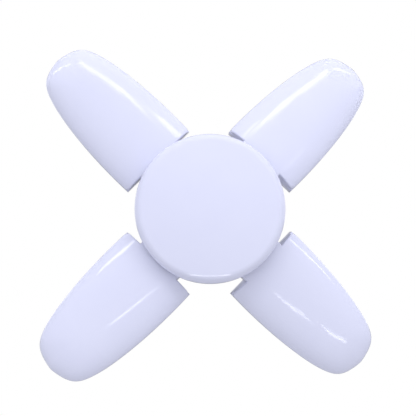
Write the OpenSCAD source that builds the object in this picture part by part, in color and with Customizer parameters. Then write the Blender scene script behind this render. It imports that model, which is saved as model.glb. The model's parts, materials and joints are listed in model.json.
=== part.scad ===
// Screw-in ceiling light with a round centre lamp and four leaf lamps on friction hinges.
// Millimetres, +Z up. The origin is the centre of the lamp cap's rim; the light shines down.
// The four leaves are alike. Leaf 1 points along +X, and the others follow every 90 degrees.

/* [Lamp cap] */
// Outside diameter of the cap's plain skirt
cap_skirt_d = 26.4; // [26:0.1:27]
// Height of the cap's plain skirt
cap_skirt_h = 5; // [3:0.5:7]
// Diameter at the root of the rolled thread
thread_root_d = 24.2; // [23.6:0.1:24.6]
// Depth of the rolled thread
thread_depth = 0.9; // [0.6:0.1:1]
// Rise of the thread in one turn
thread_pitch = 3.63; // [3.4:0.01:3.8]
// Turns of the thread
thread_turns = 3; // [2:0.5:4]
// Sheet thickness of the cap's shell
cap_wall = 0.4; // [0.3:0.1:0.6]
// Height of the insulator and the contact above the shell
insulator_h = 4; // [3:0.5:6]
// Diameter of the centre contact
contact_d = 9.6; // [8:0.2:11]

/* [Neck] */
// Diameter of the neck's shoulder under the cap
neck_top_d = 33; // [30:1:36]
// Length of the flare under the shoulder
neck_flare = 28; // [20:1:34]
// Wall of the neck
neck_wall = 1.8; // [1.4:0.1:2.4]
// Number of cooling slots round the neck
slot_count = 12; // [6:6:18]
// Height of a cooling slot
slot_h = 20; // [12:1:26]
// Width of a cooling slot
slot_w = 2; // [1.2:0.2:3]

/* [Hub and hinges] */
// Depth of the hinge plane below the cap's rim
hinge_drop = 101; // [98:1:108]
// Diameter of a hinge pin
pin_d = 4; // [3:0.5:5]
// Running clearance round a hinge pin
pin_clear = 0.05; // [0.02:0.01:0.1]
// Radius of a leaf's hinge knuckle
knuckle_r = 4.5; // [4:0.1:5]
// Width of a leaf's hinge arm
arm_w = 28; // [24:1:32]
// Thickness of a hub lug
lug_t = 3.8; // [3:0.2:4.4]
// Radius of a hub lug round the pin
lug_r = 5; // [4.5:0.1:5.5]
// Thickness of a friction washer
washer_t = 0.6; // [0.4:0.1:0.8]
// Gap on each side of a friction washer
washer_clear = 0.05; // [0.03:0.01:0.1]
// Width of the gap between the knuckles, where the leads pass
cable_gap = 10; // [8:1:12]
// Wall of the hub cup
hub_wall = 2.2; // [1.8:0.1:2.8]

/* [Centre lamp] */
// Diameter of the centre lamp
centre_d = 82; // [80:1:88]
// Depth of the centre lamp's back face in front of the hinge plane
centre_back = 12.3; // [12:0.1:14]
// Height of the upright skirt of the centre cover
centre_skirt = 3.7; // [3:0.1:5]
// Radius of the rounded edge of the centre cover
centre_edge_r = 5; // [3:0.5:7]
// Slope of the cover's face where it meets the rounded edge, in degrees
centre_slope = 7.3; // [4:0.1:10]
// Wall of every milky cover
cover_wall = 1.6; // [1.2:0.1:2]

/* [Leaves] */
// Length of a leaf from its straight inner end to its tip
leaf_len = 80.3; // [70:0.1:90]
// Greatest width of a leaf
leaf_w = 49.6; // [46:0.2:52]
// How much narrower the leaf's curve starts at its inner end
leaf_taper = 0.04; // [0.02:0.002:0.1]
// Height of the cover's ridge in front of the leaf's rim
leaf_dome = 10; // [8:0.5:10.5]
// Height of the upright skirt of a leaf cover
leaf_skirt = 2.2; // [1.6:0.1:3]
// Thickness of the cover's tongue, which lies on the front of the hinge arm
tongue_t = 1; // [0.8:0.1:1.4]
// Thickness of a leaf housing behind the rim, along its edge
leaf_rim_t = 3.6; // [3:0.1:4.2]
// Thickness of a leaf housing behind the rim, over its ribs
leaf_back_t = 7.2; // [6:0.1:8]
// Wall of a leaf housing
housing_wall = 1.8; // [1.4:0.1:2.4]
// Number of cooling ribs on a leaf housing
rib_count = 7; // [5:2:9]
// Thickness of a cooling rib
rib_t = 1.6; // [1.2:0.1:2]

/* [Pose in the photo] */
// Angle by which leaf 1 is folded back
fold_1 = 5; // [-8:1:90]
// Angle by which leaf 2 is folded back
fold_2 = 9; // [-8:1:90]
// Angle by which leaf 3 is folded back
fold_3 = -5; // [-8:1:90]
// Angle by which leaf 4 is folded back
fold_4 = -6; // [-8:1:90]

/* [Boards and screws] */
// Thickness of an LED board
led_board_t = 1.2; // [1:0.1:1.6]
// Length of an LED package
led_l = 3.5; // [3:0.1:5]
// Width of an LED package
led_w = 2.8; // [2:0.1:3.5]
// Thickness of an LED package
led_t = 0.7; // [0.5:0.1:1]
// Distance between LED rows on a leaf
led_pitch = 9; // [8:0.5:11]
// Diameter of a board screw
screw_d = 2.4; // [2:0.1:2.8]
// Thickness of the driver board
driver_t = 1.6; // [1.2:0.1:2]
// Length of the driver board
driver_len = 50; // [44:1:52]
// Diameter of every lead
lead_d = 1.2; // [1:0.1:1.4]

/* [Hidden] */
$fn = 96;
LEAVES = [1, 2, 3, 4];
LEAF_PARTS = ["cover", "housing", "led_board", "leds", "screws", "leads"];

// Colours
MILKY = [0.91, 0.91, 0.99];
WHITE = [0.93, 0.93, 0.95];
BOARD_WHITE = [0.95, 0.95, 0.93];
LED_YELLOW = [0.95, 0.85, 0.35];
BLACK = [0.12, 0.12, 0.13];
STEEL = [0.75, 0.76, 0.78];
ALUMINIUM = [0.82, 0.83, 0.85];

// Fits
seat_gap = 0.1;      // clearance of a piece that is pressed or slid into its seat
hair_gap = 0.02;     // clearance of a lead laid on a board
fold_gap = 0.7;      // gap between the edges of two neighbouring leaves folded back
neck_gap = 1.3;      // gap between a folded leaf's ribs and the neck
cup_gap = 1;         // gap between a knuckle and the hub cup
slide = 0.2;         // clearance of a cover over its pan, or of a spigot in its socket
past = 1;            // how far a cutting tool runs past the face that it opens

// Places
folds = [fold_1, fold_2, fold_3, fold_4];
hinge_z = -hinge_drop;
hinge_r = leaf_w / 2 + leaf_rim_t + fold_gap;
centre_r = centre_d / 2;
arm_len = centre_r - hinge_r;
neck_r = hinge_r - leaf_back_t - neck_gap;
cup_r = hinge_r - knuckle_r - cup_gap;
cup_in = cup_r - hub_wall;

// Leaf outline, in the leaf's own frame: the hinge axis is at x = 0 and z = 0 is the rim
OUTLINE_P = 1.83;    // how soon the sides turn in towards the tip
OUTLINE_Q = 3.9;     // how blunt the end is
TIP_BLUNT = 2;       // how blunt the very tip is; 2 makes it round
TIP_NEAR = 32;       // how near the tip its rounding begins
SIDE_STEPS = 8;      // steps of the outline along a side
TIP_STEPS = 12;      // steps of the outline from a side to the tip
tip_turn = leaf_len - leaf_w / 2;
function blunt(u) = OUTLINE_Q - (OUTLINE_Q - TIP_BLUNT) * pow(u, TIP_NEAR);
function swell(u) = (1 - leaf_taper * pow(1 - u, 3)) * pow(max(0, 1 - pow(u, OUTLINE_P)), 1 / blunt(u));
outline_peak = max([for (u = [0:0.01:1]) swell(u)]);
function half_w(x) = leaf_w / 2 * swell(x / leaf_len) / outline_peak;
end_round = 1;       // rounding between the dome and the straight inner end
side_x = concat(
    [0, end_round / 3, end_round],
    [for (i = [1:SIDE_STEPS]) end_round + (tip_turn - end_round) * i / SIDE_STEPS]
);
tip_x = [for (i = [1:TIP_STEPS]) tip_turn + (leaf_len - tip_turn) * sin(90 * i / TIP_STEPS)];
half_x = concat(side_x, tip_x);
half_outline = [for (x = half_x) [x, x < leaf_len ? half_w(x) : 0]];
last = len(half_outline) - 1;
outline = concat(
    half_outline,
    [for (i = [1:last]) [half_outline[last - i].x, -half_outline[last - i].y]]
);
points_n = len(outline);
spine_n = len(side_x);

// The outline moved inwards by d, with its straight inner end moved by d as well
function along(i) = outline[min(i + 1, points_n - 1)] - outline[max(i - 1, 0)];
function inward(v) = [v.y, -v.x] / norm(v);
function slope(x) = (half_w(x + 0.1) - half_w(x - 0.1)) / 0.2;
function inset_side(p, d) =
    let (x = d + p.x * (tip_turn - d) / tip_turn)
    [x, sign(p.y) * (half_w(x) - d * norm([1, slope(x)]))];
function inset(d) = [
    for (i = [0:points_n - 1])
        let (p = outline[i])
        (i < spine_n || i >= points_n - spine_n) ? inset_side(p, d) : p + d * inward(along(i))
];

// Depth of the dome's surface in front of the rim, for a share s of the half width
DOME_A = 2.3;        // how soon the dome falls away from its ridge
DOME_B = 1.9;        // how steep it is at its edge
DOME_RINGS = 8;      // rings of points between the edge and the ridge
function end_drop(x) = x >= end_round ? 0 : end_round - sqrt(end_round * end_round - pow(end_round - x, 2));
function dome(s, top) = leaf_skirt + (top - leaf_skirt) * pow(max(0, 1 - pow(s, DOME_A)), 1 / DOME_B);

// Spine of the dome: a boundary point's share of the way to it is 0 at the spine, 1 at the edge
function spine_index(i) = min(i, points_n - 1 - i, spine_n - 1);
function dome_ring(line, spine, top, ring) =
    let (s = sin(90 * ring / DOME_RINGS))
    [
        for (i = [0:points_n - 1])
            let (foot = spine[spine_index(i)], p = foot + (line[i] - foot) * s)
            [p.x, p.y, -dome(s, top - end_drop(line[i].x - line[0].x))]
    ];

// All points of one skin of a cover: the rim, then the rings inwards, then the spine
function skin_points(line, top) =
    let (spine = [for (i = [0:spine_n - 1]) [line[i].x, 0]])
    concat(
        [for (p = line) [p.x, p.y, 0]],
        [for (k = [0:DOME_RINGS - 1]) each dome_ring(line, spine, top, DOME_RINGS - k)],
        [for (p = spine) [p.x, 0, -dome(0, top - end_drop(p.x - spine[0].x))]]
    );
skin_n = points_n * (DOME_RINGS + 1) + spine_n;
function quad(a, b, c, d) = concat([[a, b, c]], c == d ? [] : [[a, c, d]]);
function turned(faces, flip) = flip ? [for (f = faces) [f[0], f[2], f[1]]] : faces;
function spine_point(i) = points_n * (DOME_RINGS + 1) + spine_index(i);
function skin_faces(base, flip) =
    let (
        rings = [
            for (k = [0:DOME_RINGS - 1]) for (i = [0:points_n - 2])
                let (a = base + k * points_n + i)
                each quad(a, a + 1, a + points_n + 1, a + points_n)
        ],
        crown = [
            for (i = [0:points_n - 2])
                let (a = base + DOME_RINGS * points_n + i)
                each quad(a, a + 1, base + spine_point(i + 1), base + spine_point(i))
        ]
    )
    turned(concat(rings, crown), flip);

// The flat inner end of a skin, as a fan of triangles round the foot of its spine
function end_faces(base, flip) =
    let (
        foot = base + spine_point(0),
        one = [for (k = [0:DOME_RINGS]) base + k * points_n],
        two = [for (k = [0:DOME_RINGS]) base + k * points_n + points_n - 1],
        fan = concat(
            [[one[0], one[1], two[0]], [two[0], one[1], two[1]]],
            [for (k = [1:DOME_RINGS - 1]) each quad(two[k], one[k], one[k + 1], two[k + 1])],
            [[two[DOME_RINGS], one[DOME_RINGS], foot]]
        )
    )
    turned(fan, flip);

// Leaf boards and bosses
pocket = 2.2;                                // depth of the housing's pocket behind the rim
board_gap = 0.4;                             // gap between a board and the pocket's wall
screw_side = 10.7;                           // distance of a board screw from the leaf's side
screw_tip = 20;                              // distance of the last board screw from the tip
screw_root = 24;                             // distance of the first screws from the inner end
leaf_screws = [
    [screw_root, leaf_w / 2 - screw_side],
    [screw_root, screw_side - leaf_w / 2],
    [leaf_len - screw_tip, 0]
];
screw_clear = 0.05;                          // clearance of a screw in its hole
head_r = screw_d / 2 + 1.1;
head_h = 1.4;
boss_r = screw_d / 2 + 2;
boss_floor = 1;                              // material left under a screw's blind hole
screw_tip_gap = 0.8;                         // gap between a screw's end and its hole's end
lead_window = 3.5;                           // half width of the window for the leads
lead_notch = 7;                              // depth of the board's notch for the leads
rib_inset = 7;                               // how far the ribs stay inside the edge
rib_root = 0.5;                              // how deep ribs and bosses are rooted in the back
arm_root = 7;                                // how far an arm's back runs onto the housing
arm_front = leaf_dome - tongue_t;            // height of the arm's front before the rim plane
arm_nose = 7;                                // where the arm's front starts to curve back
arm_hollow = 1.2;                            // wall in front of the arm's hollow for the leads
led_margin = 5;                              // distance of an LED row from the board's edge

// Washers, lugs and pins, measured along the pin
lug_in = arm_w / 2 + washer_t + 2 * washer_clear;
lug_out = lug_in + lug_t;
pin_head_r = pin_d / 2 + 1.4;
pin_head_h = 1.8;
pin_end = 0.8;                               // how far a pin stands out of its nut
nut_h = 2.4;
nut_r = pin_d / 2 + 1.3;
washer_r = pin_d / 2 + 2;
bore_r = pin_d / 2 + pin_clear;

// Hub and neck heights, measured from the hinge plane upwards
cup_top = 8;
neck_foot = 12;
spigot_h = 8;
spigot_wall = 2.2;
step_wall = 1;                               // wall of the step between cup and spigot
neck_in = neck_r - neck_wall;
spigot_r = neck_in - slide;
spigot_in = spigot_r - spigot_wall;
neck_end = hinge_z + neck_foot;
spigot_top = neck_end + spigot_h;
shoulder_edge = 1.2;                         // chamfer of the neck's shoulder
slot_drop = 6;                               // distance of the slots below the flare

// Cap
skirt_r = cap_skirt_d / 2;
root_r = thread_root_d / 2;
thread_in = root_r - cap_wall;
thread_half = thread_pitch * 0.36;           // half the width of the thread's ridge
thread_start = cap_skirt_h + skirt_r - root_r + 0.3;
thread_end = thread_start + thread_pitch * thread_turns + 2 * thread_half;
cap_throat = 8.2;                            // radius of the opening in the shell's top
cap_taper = 3.1;                             // height of the taper under it
cap_shell_h = thread_end + cap_taper;
cap_h = cap_shell_h + insulator_h;
collar_r = skirt_r - cap_wall - seat_gap;
collar_h = cap_skirt_h - cap_wall - seat_gap;
cap_stub = 12;                               // height of the neck's stub inside the cap
stub_wall = 1.8;
stub_r = thread_in - seat_gap;
stub_in = stub_r - stub_wall;
contact_stem_r = 1.5;
contact_t = 1.8;
insulator_r = cap_throat - cap_wall - seat_gap;
insulator_hold = 2.6;                        // how deep the insulator reaches into the shell
insulator_flange = 0.8;

// Centre lamp, as depths in front of the hinge plane
pan_t = 1.6;
pan_r = centre_r - cover_wall - slide;
pan_rim_h = 3.4;
pan_rim_t = 1.4;
pan_board_gap = 1.2;                         // gap between the pan's rim and its board
board_r = pan_r - pan_rim_t - pan_board_gap;
board_depth = centre_back + pan_t;
skirt_depth = centre_back + centre_skirt;
bolt_r = 16;                                 // circle of all screws of the centre lamp
pan_boss_r = 2.5;
pan_boss_h = 4;
bolt_d = 3;
bolt_head_r = 2.8;
bolt_head_h = 2;
bolt_hole = 8;                               // depth of a bolt's hole in the hub
hub_boss_r = 3.2;
hub_boss_h = 9;
boss_web = 3;                                // thickness of the web that ties a boss to the cup
lead_hole_r = 3;                             // hole for the leads in the pan and its board
LED_RINGS = [[6, 9], [12, 25], [16, 32]];    // packages in a ring, radius of the ring
EDGE_STEPS = 8;                              // steps of the cover's edge, and of its face

// Driver board: it stands in the neck, in the plane x = 0
driver_edge = 1.3;                           // gap between the board's edge and the neck
driver_half = neck_in - driver_edge;
driver_foot = spigot_top + slide;
driver_top = driver_foot + driver_len;
board_face = driver_t / 2 + seat_gap;        // where parts on either face of it stand
rail_t = 1.6;
rail_depth = 2;
rail_end = 8;                                // how much shorter a rail is than the board

// Leads
lead_bend = 3;                               // distance from a bend over which a lead is rounded
lead_sides = 6;
lead_r = lead_d / 2;
lead_x = driver_t / 2 + lead_r + hair_gap;   // distance of a lead on the driver board
lead_pad = 4;                                // height of its pad above the board's foot
lead_over = pin_d / 2 + lead_r + 0.6;        // depth of the leads in front of a pin's axis

// Puts a child, drawn in a leaf's frame, at leaf i as it is folded
module at_leaf(i) {
    rotate([0, 0, 90 * (i - 1)])
        translate([hinge_r, 0, hinge_z])
            rotate([0, -folds[i - 1], 0])
                children();
}

// Repeats a child, drawn at hinge 1, at all four hinges
module at_hinges() {
    for (i = LEAVES)
        rotate([0, 0, 90 * (i - 1)])
            translate([hinge_r, 0, hinge_z])
                children();
}

// A round bar along Y, from y = a to y = b
module bar_y(r, a, b) {
    translate([0, b, 0])
        rotate([90, 0, 0])
            cylinder(r = r, h = b - a);
}

// A lead of round section, swept through the points of a route with its bends rounded
function unit(v) = v / norm(v);
function bend(a, p, b) =
    let (
        reach = min(lead_bend, norm(p - a) * 0.45, norm(b - p) * 0.45),
        start = p + unit(a - p) * reach,
        end = p + unit(b - p) * reach
    )
    [for (t = [0:0.25:1]) pow(1 - t, 2) * start + 2 * t * (1 - t) * p + t * t * end];
function rounded(route) = concat(
    [route[0]],
    [for (i = [1:len(route) - 2]) each bend(route[i - 1], route[i], route[i + 1])],
    [route[len(route) - 1]]
);

module lead(route) {
    path = rounded(route);
    n = len(path);
    function ring(i) =
        let (
            way = unit(path[min(i + 1, n - 1)] - path[max(i - 1, 0)]),
            side = unit(cross(way, [0, 1, 0])),
            up = cross(side, way)
        )
        [for (k = [0:lead_sides - 1])
            let (a = 360 * (k + 0.5) / lead_sides)
            path[i] + lead_r * (cos(a) * side + sin(a) * up)];
    polyhedron(
        points = [for (i = [0:n - 1]) each ring(i)],
        faces = concat(
            [[for (k = [lead_sides - 1:-1:0]) k]],
            [
                for (i = [0:n - 2]) for (k = [0:lead_sides - 1])
                    let (a = i * lead_sides + k, b = i * lead_sides + (k + 1) % lead_sides)
                    each [[a, b, a + lead_sides], [b, b + lead_sides, a + lead_sides]]
            ],
            [[for (k = [0:lead_sides - 1]) (n - 1) * lead_sides + k]]
        )
    );
}

// ---- Lamp cap ----

module thread_ridge() {
    steps = 32;
    sides = 5;
    n = round(thread_turns * steps);
    half = thread_half;
    root = root_r - cap_wall / 2;
    // A little above the shell's face, so that the faded ends still stand on it
    lift = cap_wall / 2 + 0.05;
    // The ridge fades out over its first and last quarter turn
    function height(i) = thread_depth * min(1, i * 4 / steps, (n - i) * 4 / steps);
    function ridge(i) =
        let (
            a = 360 * i / steps,
            z = thread_start + half + thread_pitch * i / steps,
            rise = lift + height(i)
        )
        [
            for (k = [0:sides - 1])
                let (b = 180 * k / (sides - 1))
                [(root + rise * sin(b)) * cos(a), (root + rise * sin(b)) * sin(a), z - half * cos(b)]
        ];
    polyhedron(
        points = [for (i = [0:n]) each ridge(i)],
        faces = concat(
            [[for (k = [sides - 1:-1:0]) k]],
            [
                for (i = [0:n - 1]) for (k = [0:sides - 1])
                    let (a = i * sides + k, b = i * sides + (k + 1) % sides)
                    each [[a, b, a + sides], [b, b + sides, a + sides]]
            ],
            [[for (k = [0:sides - 1]) n * sides + k]]
        )
    );
}

module screw_shell() {
    step = cap_skirt_h + skirt_r - root_r;
    color("gold") {
        rotate_extrude()
            polygon([
                [skirt_r, 0], [skirt_r, cap_skirt_h], [root_r, step], [root_r, thread_end],
                [cap_throat, cap_shell_h], [cap_throat - cap_wall, cap_shell_h],
                [cap_throat - cap_wall, cap_shell_h - cap_wall],
                [thread_in, thread_end - cap_wall], [thread_in, step - cap_wall],
                [skirt_r - cap_wall, cap_skirt_h - cap_wall], [skirt_r - cap_wall, 0]
            ]);
        thread_ridge();
    }
}

module cap_insulator() {
    foot = cap_shell_h - insulator_hold;
    top = cap_h - contact_t;
    bore = contact_stem_r + screw_clear;
    flange_r = insulator_r + 1.4;
    land = 0.6;
    color(BLACK)
        rotate_extrude()
            polygon([
                [bore, foot], [flange_r, foot], [flange_r, foot + insulator_flange],
                [insulator_r, foot + insulator_flange], [insulator_r, cap_shell_h],
                [contact_d / 2 + land, top], [bore, top]
            ]);
}

module centre_contact() {
    top = cap_h - contact_t;
    foot = cap_shell_h - insulator_hold - insulator_flange;
    edge = 0.6;
    color(STEEL)
        rotate_extrude()
            polygon([
                [0, foot], [contact_stem_r, foot], [contact_stem_r, top],
                [contact_d / 2, top], [contact_d / 2, top + edge],
                [contact_d / 3, cap_h - edge / 2], [0, cap_h]
            ]);
}

// ---- Neck ----

module neck_shell() {
    top_r = neck_top_d / 2;
    rotate_extrude()
        polygon([
            [neck_r, neck_end], [neck_r, -neck_flare],
            [top_r, -shoulder_edge], [top_r - shoulder_edge, 0],
            [collar_r, 0], [collar_r, collar_h], [stub_r, collar_h + collar_r - stub_r],
            [stub_r, cap_stub], [stub_in, cap_stub],
            [stub_in, -neck_wall], [top_r - neck_wall, -neck_wall - shoulder_edge],
            [neck_in, -neck_flare], [neck_in, neck_end]
        ]);
}

module neck() {
    slot_z = -neck_flare - slot_drop - slot_h;
    rail_h = driver_len - rail_end;
    color(WHITE)
        difference() {
            union() {
                neck_shell();
                // Rails that hold the driver board by its edges
                for (side = [-1, 1]) for (face = [-1, 1])
                    intersection() {
                        translate([
                            face * (board_face + rail_t / 2),
                            side * (neck_in - rail_depth / 2),
                            driver_foot + rail_h / 2 + seat_gap
                        ])
                            cube([rail_t, rail_depth + neck_wall, rail_h], center = true);
                        translate([0, 0, neck_end])
                            cylinder(r = neck_in + neck_wall / 2, h = hinge_drop);
                    }
            }
            for (k = [0:slot_count - 1])
                rotate([0, 0, 360 * (k + 0.5) / slot_count])
                    translate([neck_in - past, -slot_w / 2, slot_z])
                        cube([neck_wall + 2 * past, slot_w, slot_h]);
            at_neck_screws() {
                cylinder(r = screw_d / 2 + screw_clear, h = neck_r);
                translate([0, 0, neck_r - head_h])
                    cylinder(r = head_r + screw_clear, h = head_h + past);
            }
        }
}

// Repeats a child, drawn along +Z from the lamp's axis, at the neck's radial screws
module at_neck_screws() {
    for (a = [45:90:315])
        rotate([0, 0, a])
            translate([0, 0, neck_end + spigot_h / 2])
                rotate([0, 90, 0])
                    children();
}

module neck_screws() {
    sunk = 0.1;
    color(STEEL)
        at_neck_screws()
            difference() {
                union() {
                    translate([0, 0, spigot_in])
                        cylinder(d = screw_d, h = neck_r - spigot_in - head_h);
                    translate([0, 0, neck_r - head_h])
                        cylinder(r = head_r, h = head_h - sunk);
                }
                cross_recess(head_r, neck_r - sunk);
            }
}

// A cross-shaped recess in a screw head of radius r whose face is at height top
module cross_recess(r, top) {
    wide = r * 0.3;
    deep = 0.7;
    for (a = [0, 90])
        rotate([0, 0, a])
            translate([-r * 0.6, -wide / 2, top - deep])
                cube([r * 1.2, wide, deep + past]);
}

// ---- Hub ----

module hub_cup() {
    front = hinge_z - centre_back;
    step = hinge_z + cup_top;
    rotate_extrude()
        polygon([
            [cup_r, front], [cup_r, step], [neck_r, neck_end],
            [spigot_r, neck_end], [spigot_r, spigot_top], [spigot_in, spigot_top],
            [spigot_in, neck_end - step_wall], [cup_in, step - step_wall], [cup_in, front]
        ]);
}

module hub_lug() {
    // The lug starts just inside the cup's wall, where its outer face meets it
    root_x = sqrt(cup_in * cup_in - lug_out * lug_out) - hinge_r + hub_wall / 4;
    rotate([90, 0, 0])
        linear_extrude(height = lug_t)
            union() {
                circle(r = lug_r);
                translate([root_x, -lug_r])
                    square([-root_x, 2 * lug_r]);
            }
}

// Bosses for the pan's bolts, each tied to the cup's wall by a web
module hub_bosses() {
    for (a = [45:90:315])
        rotate([0, 0, a])
            translate([0, 0, hinge_z - centre_back]) {
                translate([bolt_r, 0, 0])
                    cylinder(r = hub_boss_r, h = hub_boss_h);
                translate([bolt_r, -boss_web / 2, 0])
                    cube([cup_in - bolt_r + hub_wall / 2, boss_web, hub_boss_h]);
            }
}

module hub() {
    window_h = lead_d + 1.6;
    color(WHITE)
        difference() {
            union() {
                hub_cup();
                hub_bosses();
                at_hinges() {
                    translate([0, lug_out, 0])
                        hub_lug();
                    translate([0, -lug_in, 0])
                        hub_lug();
                }
            }
            at_hinges() {
                bar_y(bore_r, -lug_out - past, lug_out + past);
                translate([-hinge_r + cup_in - past, -lead_window, -lead_over - window_h / 2])
                    cube([hub_wall + 2 * past, 2 * lead_window, window_h]);
            }
            for (a = [45:90:315])
                rotate([0, 0, a])
                    translate([bolt_r, 0, hinge_z - centre_back - past])
                        cylinder(r = bolt_d / 2 + screw_clear, h = bolt_hole + past);
            at_neck_screws()
                cylinder(r = screw_d / 2 + screw_clear, h = neck_r);
        }
}

module hinge_pins() {
    nut_side = -lug_out - nut_h - pin_end;
    color(STEEL)
        at_hinges()
            difference() {
                union() {
                    bar_y(pin_d / 2, nut_side, lug_out);
                    bar_y(pin_head_r, lug_out, lug_out + pin_head_h);
                }
                translate([0, lug_out, 0])
                    rotate([-90, 0, 0])
                        cross_recess(pin_head_r, pin_head_h);
            }
}

module hinge_nuts() {
    color(STEEL)
        at_hinges()
            translate([0, -lug_out, 0])
                rotate([90, 0, 0])
                    difference() {
                        cylinder(r = nut_r, h = nut_h, $fn = 6);
                        translate([0, 0, -past])
                            cylinder(r = bore_r, h = nut_h + 2 * past);
                    }
}

module friction_washers() {
    color(STEEL)
        at_hinges()
            for (side = [-1, 1])
                translate([0, side * (arm_w / 2 + washer_clear + washer_t / 2), 0])
                    rotate([90, 0, 0])
                        difference() {
                            cylinder(r = washer_r, h = washer_t, center = true);
                            cylinder(r = bore_r, h = washer_t + 2 * past, center = true);
                        }
}

// ---- Centre lamp ----

module at_depth(depth) {
    translate([0, 0, hinge_z - depth])
        children();
}

module centre_pan() {
    color(ALUMINIUM)
        difference() {
            union() {
                at_depth(board_depth)
                    cylinder(r = pan_r, h = pan_t);
                at_depth(board_depth + pan_rim_h - pan_t)
                    difference() {
                        cylinder(r = pan_r, h = pan_rim_h - pan_t);
                        translate([0, 0, -past])
                            cylinder(r = pan_r - pan_rim_t, h = pan_rim_h - pan_t + past);
                    }
                for (a = [0:90:270])
                    rotate([0, 0, a])
                        translate([bolt_r, 0, 0])
                            at_depth(centre_back)
                                cylinder(r = pan_boss_r, h = pan_boss_h);
            }
            for (a = [0:90:270])
                rotate([0, 0, a])
                    translate([bolt_r, 0, 0])
                        at_depth(board_depth + past)
                            cylinder(r = screw_d / 2 + screw_clear, h = pan_t + past + pan_boss_h - boss_floor);
            for (a = [45:90:315])
                rotate([0, 0, a])
                    translate([bolt_r, 0, 0])
                        at_depth(board_depth + past)
                            cylinder(r = bolt_d / 2 + screw_clear, h = pan_t + 2 * past);
            at_depth(board_depth + past)
                cylinder(r = lead_hole_r, h = pan_t + 2 * past);
        }
}

module pan_screws() {
    color(STEEL)
        for (a = [45:90:315])
            rotate([0, 0, a])
                translate([bolt_r, 0, 0])
                    at_depth(board_depth)
                        difference() {
                            union() {
                                cylinder(d = bolt_d, h = pan_t + bolt_hole - screw_tip_gap);
                                translate([0, 0, -bolt_head_h])
                                    cylinder(r = bolt_head_r, h = bolt_head_h);
                            }
                            rotate([180, 0, 0])
                                cross_recess(bolt_head_r, bolt_head_h);
                        }
}

module centre_led_board() {
    color(BOARD_WHITE)
        at_depth(board_depth + led_board_t)
            difference() {
                cylinder(r = board_r, h = led_board_t);
                for (a = [0:90:270])
                    rotate([0, 0, a])
                        translate([bolt_r, 0, -past])
                            cylinder(r = screw_d / 2 + slide, h = led_board_t + 2 * past);
                for (a = [45:90:315])
                    rotate([0, 0, a])
                        translate([bolt_r, 0, -past])
                            cylinder(r = bolt_head_r + slide, h = led_board_t + 2 * past);
                translate([0, 0, -past])
                    cylinder(r = lead_hole_r, h = led_board_t + 2 * past);
            }
}

module centre_leds() {
    color(LED_YELLOW)
        at_depth(board_depth + led_board_t + led_t)
            for (ring = LED_RINGS) for (k = [0:ring[0] - 1])
                rotate([0, 0, 360 * (k + 0.5) / ring[0]])
                    translate([ring[1] - led_w / 2, -led_l / 2, 0])
                        cube([led_w, led_l, led_t]);
}

module centre_board_screws() {
    color(STEEL)
        for (a = [0:90:270])
            rotate([0, 0, a])
                translate([bolt_r, 0, 0])
                    at_depth(board_depth + led_board_t)
                        board_screw(led_board_t + pan_t + pan_boss_h - boss_floor - screw_tip_gap);
}

// A board screw with its head's seat at z = 0 and its shank along +Z
module board_screw(length) {
    difference() {
        union() {
            cylinder(d = screw_d, h = length);
            translate([0, 0, -head_h])
                cylinder(r = head_r, h = head_h);
        }
        rotate([180, 0, 0])
            cross_recess(head_r, head_h);
    }
}

// Half section of the centre cover's skin, drawn inwards by t: skirt, rounded edge, domed face
function centre_skin(t) =
    let (
        turn_r = centre_r - centre_edge_r,
        face_r = turn_r / sin(centre_slope) + centre_edge_r - t,
        face_c = skirt_depth - turn_r / tan(centre_slope),
        edge = [
            for (k = [0:EDGE_STEPS])
                let (a = (90 - centre_slope) * k / EDGE_STEPS)
                [turn_r + (centre_edge_r - t) * cos(a), -skirt_depth - (centre_edge_r - t) * sin(a)]
        ],
        face = [
            for (k = [1:EDGE_STEPS])
                let (a = centre_slope * (1 - k / EDGE_STEPS))
                [face_r * sin(a), -face_c - face_r * cos(a)]
        ]
    )
    concat([[centre_r - t, -centre_back]], edge, face);

module centre_cover() {
    color(MILKY)
        translate([0, 0, hinge_z])
            rotate_extrude($fn = 128)
                difference() {
                    polygon(concat(centre_skin(0), [[0, -centre_back]]));
                    polygon(concat([[centre_r - cover_wall, 0]], centre_skin(cover_wall), [[0, 0]]));
                }
}

// ---- Driver ----

module driver_board() {
    color("darkgreen")
        translate([-driver_t / 2, -driver_half, driver_foot])
            cube([driver_t, 2 * driver_half, driver_len]);
}

// Puts a child, drawn along +X from a face of the driver board, at height z and offset y on it
module on_driver(side, y, z) {
    translate([side * board_face, y, z])
        children();
}

module bulk_capacitor() {
    r = 5;
    h = 11;
    crimp = 0.5;
    color(BLACK)
        on_driver(1, 11.6 - driver_half, driver_top - 16)
            rotate([0, 90, 0]) {
                cylinder(r = r, h = h);
                cylinder(r = r - crimp, h = h + crimp);
            }
}

module film_capacitor() {
    color("firebrick")
        on_driver(1, 8.4 - driver_half, driver_foot + 8)
            cube([7, 13, 5.5]);
}

module inductor() {
    core_r = 4;
    flange_r = 5;
    flange_t = 1.4;
    h = 9;
    slope = 0.4;
    color("saddlebrown")
        on_driver(1, driver_half - 10.9, driver_top - 24)
            rotate([0, 90, 0])
                rotate_extrude()
                    polygon([
                        [0, 0], [flange_r, 0], [flange_r, flange_t], [core_r, flange_t + slope],
                        [core_r, h - flange_t - slope], [flange_r, h - flange_t],
                        [flange_r, h], [0, h]
                    ]);
}

// A flat chip on the driver board's back face, with a row of legs on both long sides
module flat_chip(size, legs, pitch, leg) {
    first = (size.z - pitch * (legs - 1) - leg.z) / 2;
    translate([-size.x, -size.y / 2, 0]) {
        cube(size);
        for (k = [0:legs - 1])
            translate([size.x - leg.x, -leg.y, first + pitch * k])
                cube([leg.x, size.y + 2 * leg.y, leg.z]);
    }
}

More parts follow.
